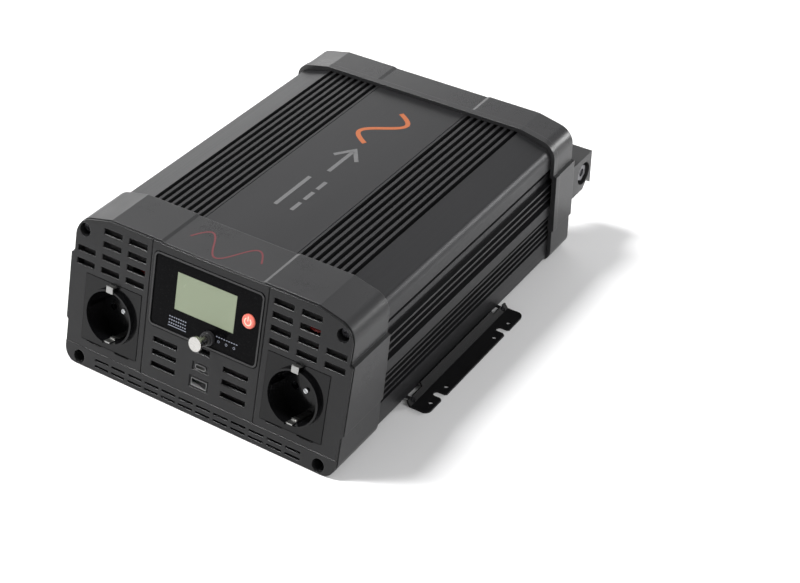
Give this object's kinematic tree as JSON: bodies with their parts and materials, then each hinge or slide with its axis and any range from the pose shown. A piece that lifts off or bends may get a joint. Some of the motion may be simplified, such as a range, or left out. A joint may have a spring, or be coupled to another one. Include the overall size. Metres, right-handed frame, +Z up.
{
  "type": "power inverter",
  "caption": "DC to AC power inverter: ribbed aluminium housing between moulded end caps, sloping front panel with display, sockets and USB ports, mounting feet and rear DC terminals.",
  "frame": {"origin": "middle of the whole object in plan, on the surface it stands on", "axes": "+X to the right seen from the front panel, +Y from the front panel to the terminals, +Z up"},
  "size_m": [0.27, 0.3505, 0.1115],
  "materials": {
    "housing": "satin dark grey anodised extrusion",
    "base_plate": "plain mill-finish sheet",
    "black_screw": "black zinc-plated steel",
    "cap_plastic": "dark grey moulded plastic with a fine grain",
    "bracket_paint": "black powder coat",
    "lens": "glossy black acrylic",
    "lcd": "pale grey-green display glass",
    "white_plastic": "white moulded plastic",
    "circuit_board": "green solder mask on glass fibre board",
    "zinc_steel": "zinc-plated steel",
    "button": "translucent red plastic",
    "black_plastic": "black moulded plastic",
    "nickel": "bright nickel plating",
    "brass": "plain brass",
    "socket_plastic": "glossy black plastic",
    "white_tongue": "white moulded plastic",
    "red_plastic": "red plastic",
    "terminal_black": "black moulded plastic",
    "copper": "copper",
    "heatsink": "plain extrusion",
    "ferrite": "dark grey ferrite",
    "tape": "yellow winding tape",
    "choke_yellow": "yellow coated iron powder core",
    "capacitor": "dark blue shrink sleeve"
  },
  "bodies": {
    "case": {"housing": "housing", "base_plate": "base_plate", "base_screws": "black_screw", "front_panel": "cap_plastic", "front_cap": "cap_plastic", "rear_cap": "cap_plastic", "front_screws": "black_screw", "rear_screws": "black_screw", "bracket_left": "bracket_paint", "bracket_right": "bracket_paint", "bracket_screws": "black_screw", "display_bezel": "cap_plastic", "display_lens": "lens", "lcd_glass": "lcd", "lcd_holder": "white_plastic", "display_board": "circuit_board", "display_screws": "zinc_steel", "button_switch": "black_plastic", "earth_post": "brass", "earth_collar": "black_plastic", "socket_left": "socket_plastic", "socket_right": "socket_plastic", "earth_clips": "nickel", "socket_screws": "zinc_steel", "socket_contacts": "brass", "usb_module": "black_plastic", "usb_shells": "nickel", "usb_tongues": "white_tongue", "remote_jack": "black_plastic", "vent_baffles": "black_plastic", "fan_frame_left": "black_plastic", "fan_frame_right": "black_plastic", "fan_screws": "black_screw", "terminal_positive": "red_plastic", "terminal_negative": "terminal_black", "busbars": "copper", "terminal_bolts": "zinc_steel", "terminal_washers": "zinc_steel", "terminal_nuts": "zinc_steel", "earth_screw": "zinc_steel", "main_board": "circuit_board", "board_standoffs": "brass", "board_screws": "zinc_steel", "heatsinks": "heatsink", "power_transistors": "black_plastic", "clamp_bars": "zinc_steel", "transformer_cores": "ferrite", "transformer_windings": "tape", "choke_core": "choke_yellow", "choke_winding": "copper", "bulk_capacitors": "capacitor", "fuse_holders": "black_plastic", "blade_fuses": "red_plastic", "control_board": "circuit_board", "live_leads": "red_plastic", "neutral_leads": "black_plastic"},
    "button": {"power_button": "button"},
    "knob": {"earth_knob": "nickel"},
    "fan_left": {"fan_rotor_left": "black_plastic"},
    "fan_right": {"fan_rotor_right": "black_plastic"}
  },
  "joints": [
    {"name": "power_button_press", "type": "slide", "parent": "case", "child": "button", "axis": [0, 0.9613, -0.2756], "range_m": [0, 0.0015], "stiffness_N_per_m": 600, "springref_m": -0.0005},
    {"name": "earth_knob_turn", "type": "hinge", "parent": "case", "child": "knob", "pos_m": [0.0053, -0.16551, 0.06154], "axis": [0, -0.9613, 0.2756], "continuous": true},
    {"name": "fan_left_spin", "type": "hinge", "parent": "case", "child": "fan_left", "pos_m": [-0.034, 0.129, 0.055], "axis": [0, 1, 0], "continuous": true},
    {"name": "fan_right_spin", "type": "hinge", "parent": "case", "child": "fan_right", "pos_m": [0.034, 0.129, 0.055], "axis": [0, 1, 0], "continuous": true}
  ]
}
